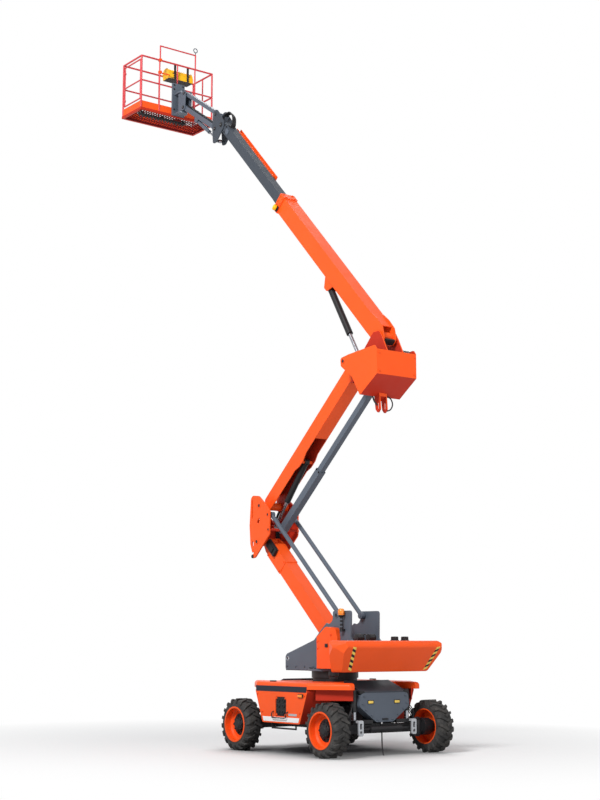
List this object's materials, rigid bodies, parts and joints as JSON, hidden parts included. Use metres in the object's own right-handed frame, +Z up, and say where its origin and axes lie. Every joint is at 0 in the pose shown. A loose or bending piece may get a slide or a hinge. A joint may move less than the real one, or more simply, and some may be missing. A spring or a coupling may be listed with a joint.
{
  "type": "articulating boom lift",
  "caption": "Four-wheel articulating boom lift with a slewing turret, folding parallelogram booms, telescopic main boom, jib and railed work platform.",
  "frame": {"origin": "on the ground, under the middle of the bounding box with the booms as in the picture", "axes": "+X ahead, the way the platform points; +Y to the machine's left; +Z up"},
  "size_m": [7.7982, 2.52, 14.302],
  "materials": {
    "orange_paint": "gloss",
    "grey_paint": "satin",
    "black_steel": "satin",
    "rail_paint": "gloss",
    "tyre": "matte",
    "rod_chrome": "polished",
    "black_plastic": "matte",
    "yellow_plastic": "satin",
    "amber": "gloss",
    "battery_case": "matte"
  },
  "bodies": {
    "chassis": {"chassis_frame": "black_steel", "deck": "orange_paint", "pods": "orange_paint", "end_covers": "grey_paint", "power_packs": "battery_case", "step_rails": "black_steel", "tie_downs": "grey_paint", "axle_front": "black_steel", "axle_rear": "black_steel", "slew_ring": "black_steel"},
    "steer_left": {"knuckle_left": "grey_paint"},
    "steer_right": {"knuckle_right": "grey_paint"},
    "turret": {"turret": "grey_paint", "counterweight": "orange_paint", "turret_covers": "orange_paint", "beacon": "amber", "lower_barrel": "black_steel"},
    "lower_rod": {"lower_rod": "rod_chrome"},
    "lower_boom": {"lower_boom": "orange_paint"},
    "level_rods": {"level_rods": "grey_paint"},
    "knee": {"knee": "orange_paint"},
    "second_boom": {"second_boom": "orange_paint"},
    "second_link": {"second_link": "grey_paint"},
    "second_barrel": {"second_barrel": "black_steel"},
    "second_rod": {"second_rod": "rod_chrome"},
    "knuckle": {"knuckle": "orange_paint"},
    "main_boom": {"main_boom": "orange_paint"},
    "main_barrel": {"main_barrel": "black_steel"},
    "main_rod": {"main_rod": "rod_chrome"},
    "fly_boom": {"fly_boom": "grey_paint", "hose_tray": "orange_paint", "cable_chain": "black_plastic"},
    "jib_base": {"jib_base": "grey_paint"},
    "jib_arm": {"jib_arm": "grey_paint"},
    "jib_link": {"jib_link": "grey_paint"},
    "jib_rod": {"jib_rod": "rod_chrome"},
    "jib_head": {"jib_head": "grey_paint"},
    "platform": {"platform_mount": "grey_paint", "platform_floor": "rail_paint", "platform_rails": "rail_paint", "console": "black_plastic"},
    "gate": {"gate": "rail_paint"},
    "console_cover": {"console_cover": "yellow_plastic"},
    "wheel_fl": {"rim_fl": "orange_paint", "tyre_fl": "tyre"},
    "wheel_fr": {"rim_fr": "orange_paint", "tyre_fr": "tyre"},
    "wheel_rl": {"rim_rl": "orange_paint", "tyre_rl": "tyre"},
    "wheel_rr": {"rim_rr": "orange_paint", "tyre_rr": "tyre"}
  },
  "joints": [
    {"name": "slew", "type": "hinge", "parent": "chassis", "child": "turret", "pos_m": [-2.19974, 0, 1.34], "axis": [0, 0, 1], "continuous": true},
    {"name": "lower_lift", "type": "hinge", "parent": "turret", "child": "lower_boom", "pos_m": [-2.29974, 0, 1.8], "axis": [0, -1, 0], "range_deg": [-40.9, 27.1]},
    {"name": "rods_swing", "type": "hinge", "parent": "turret", "child": "level_rods", "pos_m": [-2.63974, 0, 2.27], "axis": [0, -1, 0], "range_deg": [-41.4, 27.6]},
    {"name": "knee_level", "type": "hinge", "parent": "lower_boom", "child": "knee", "pos_m": [-0.3292, 0, 3.63114], "axis": [0, -1, 0], "range_deg": [-27.6, 41.4]},
    {"name": "lower_stroke", "type": "slide", "parent": "turret", "child": "lower_rod", "axis": [0.9974, 0, -0.0723], "range_m": [-0.219, 0.1458]},
    {"name": "second_lift", "type": "hinge", "parent": "knee", "child": "second_boom", "pos_m": [-0.3992, 0, 4.28114], "axis": [0, 1, 0], "range_deg": [-35.25, 28.75]},
    {"name": "link_swing", "type": "hinge", "parent": "knee", "child": "second_link", "pos_m": [-0.6892, 0, 3.83114], "axis": [0, 1, 0], "range_deg": [-35.75, 29.25]},
    {"name": "knuckle_level", "type": "hinge", "parent": "second_boom", "child": "knuckle", "pos_m": [-2.99906, 0, 6.56116], "axis": [0, 1, 0], "range_deg": [-29.25, 35.75]},
    {"name": "second_swing", "type": "hinge", "parent": "second_boom", "child": "second_barrel", "pos_m": [-1.38539, 0, 5.01299], "axis": [0, -1, 0], "range_deg": [-6.84, 5.67]},
    {"name": "second_stroke", "type": "slide", "parent": "second_barrel", "child": "second_rod", "axis": [0.6434, 0, -0.7656], "range_m": [-0.1792, 0.1465]},
    {"name": "main_lift", "type": "hinge", "parent": "knuckle", "child": "main_boom", "pos_m": [-3.59906, 0, 6.94116], "axis": [0, -1, 0], "range_deg": [-43.5, 28.5]},
    {"name": "main_swing", "type": "hinge", "parent": "main_boom", "child": "main_barrel", "pos_m": [-2.10799, 0, 8.07659], "axis": [0, -1, 0], "range_deg": [-2.24, 1.64]},
    {"name": "main_stroke", "type": "slide", "parent": "main_barrel", "child": "main_rod", "axis": [-0.5069, 0, -0.862], "range_m": [-0.5, 0.3283]},
    {"name": "extend", "type": "slide", "parent": "main_boom", "child": "fly_boom", "axis": [0.6884, 0, 0.7254], "range_m": [-2.5, 0.62]},
    {"name": "tip_level", "type": "hinge", "parent": "fly_boom", "child": "jib_base", "pos_m": [1.27449, 0, 12.0768], "axis": [0, -1, 0], "range_deg": [-29, 44]},
    {"name": "jib_lift", "type": "hinge", "parent": "jib_base", "child": "jib_arm", "pos_m": [1.50449, 0, 12.0568], "axis": [0, -1, 0], "range_deg": [-93.7, 36.3]},
    {"name": "jib_link_swing", "type": "hinge", "parent": "jib_base", "child": "jib_link", "pos_m": [1.47849, 0, 12.3558], "axis": [0, -1, 0], "range_deg": [-94.2, 36.8]},
    {"name": "jib_stroke", "type": "slide", "parent": "jib_arm", "child": "jib_rod", "axis": [-0.7748, 0, -0.6322], "range_m": [-0.3225, 0.1262]},
    {"name": "jib_level", "type": "hinge", "parent": "jib_arm", "child": "jib_head", "pos_m": [2.76407, 0, 12.8968], "axis": [0, -1, 0], "range_deg": [-36.8, 94.2]},
    {"name": "platform_turn", "type": "hinge", "parent": "jib_head", "child": "platform", "pos_m": [2.92907, 0, 12.8968], "axis": [0, 0, 1], "range_deg": [-80, 80]},
    {"name": "gate_swing", "type": "hinge", "parent": "platform", "child": "gate", "pos_m": [3.81607, 0.881, 13.4368], "axis": [0, 0, 1], "range_deg": [0, 90]},
    {"name": "console_lid", "type": "hinge", "parent": "platform", "child": "console_cover", "pos_m": [3.46807, 0, 13.7578], "axis": [0, 1, 0], "range_deg": [0, 100]},
    {"name": "steer", "type": "hinge", "parent": "chassis", "child": "steer_left", "pos_m": [-3.39974, 0.8, 0.435], "axis": [0, 0, 1], "range_deg": [-35, 35]},
    {"name": "steer_right", "type": "hinge", "parent": "chassis", "child": "steer_right", "pos_m": [-3.39974, -0.8, 0.435], "axis": [0, 0, 1], "range_deg": [-35.5, 35.5]},
    {"name": "wheel_fl", "type": "hinge", "parent": "chassis", "child": "wheel_fl", "pos_m": [-0.99974, 1.1, 0.435], "axis": [0, 1, 0], "continuous": true},
    {"name": "wheel_fr", "type": "hinge", "parent": "chassis", "child": "wheel_fr", "pos_m": [-0.99974, -1.1, 0.435], "axis": [0, 1, 0], "continuous": true},
    {"name": "wheel_rl", "type": "hinge", "parent": "steer_left", "child": "wheel_rl", "pos_m": [-3.39974, 1.1, 0.435], "axis": [0, 1, 0], "continuous": true},
    {"name": "wheel_rr", "type": "hinge", "parent": "steer_right", "child": "wheel_rr", "pos_m": [-3.39974, -1.1, 0.435], "axis": [0, 1, 0], "continuous": true}
  ],
  "couplings": [
    {"joint": "rods_swing", "follows": "lower_lift", "ratio": 1},
    {"joint": "knee_level", "follows": "lower_lift", "ratio": -1},
    {"joint": "lower_stroke", "follows": "lower_lift", "m_per_rad": 0.304},
    {"joint": "link_swing", "follows": "second_lift", "ratio": 1},
    {"joint": "knuckle_level", "follows": "second_lift", "ratio": -1},
    {"joint": "second_swing", "follows": "second_lift", "ratio": 0.18},
    {"joint": "second_stroke", "follows": "second_lift", "m_per_rad": 0.288},
    {"joint": "main_swing", "follows": "main_lift", "ratio": 0.04},
    {"joint": "main_stroke", "follows": "main_lift", "m_per_rad": 0.656},
    {"joint": "tip_level", "follows": "main_lift", "ratio": -1},
    {"joint": "jib_link_swing", "follows": "jib_lift", "ratio": 1},
    {"joint": "jib_stroke", "follows": "jib_lift", "m_per_rad": 0.196},
    {"joint": "jib_level", "follows": "jib_lift", "ratio": -1},
    {"joint": "steer_right", "follows": "steer", "ratio": 1}
  ]
}
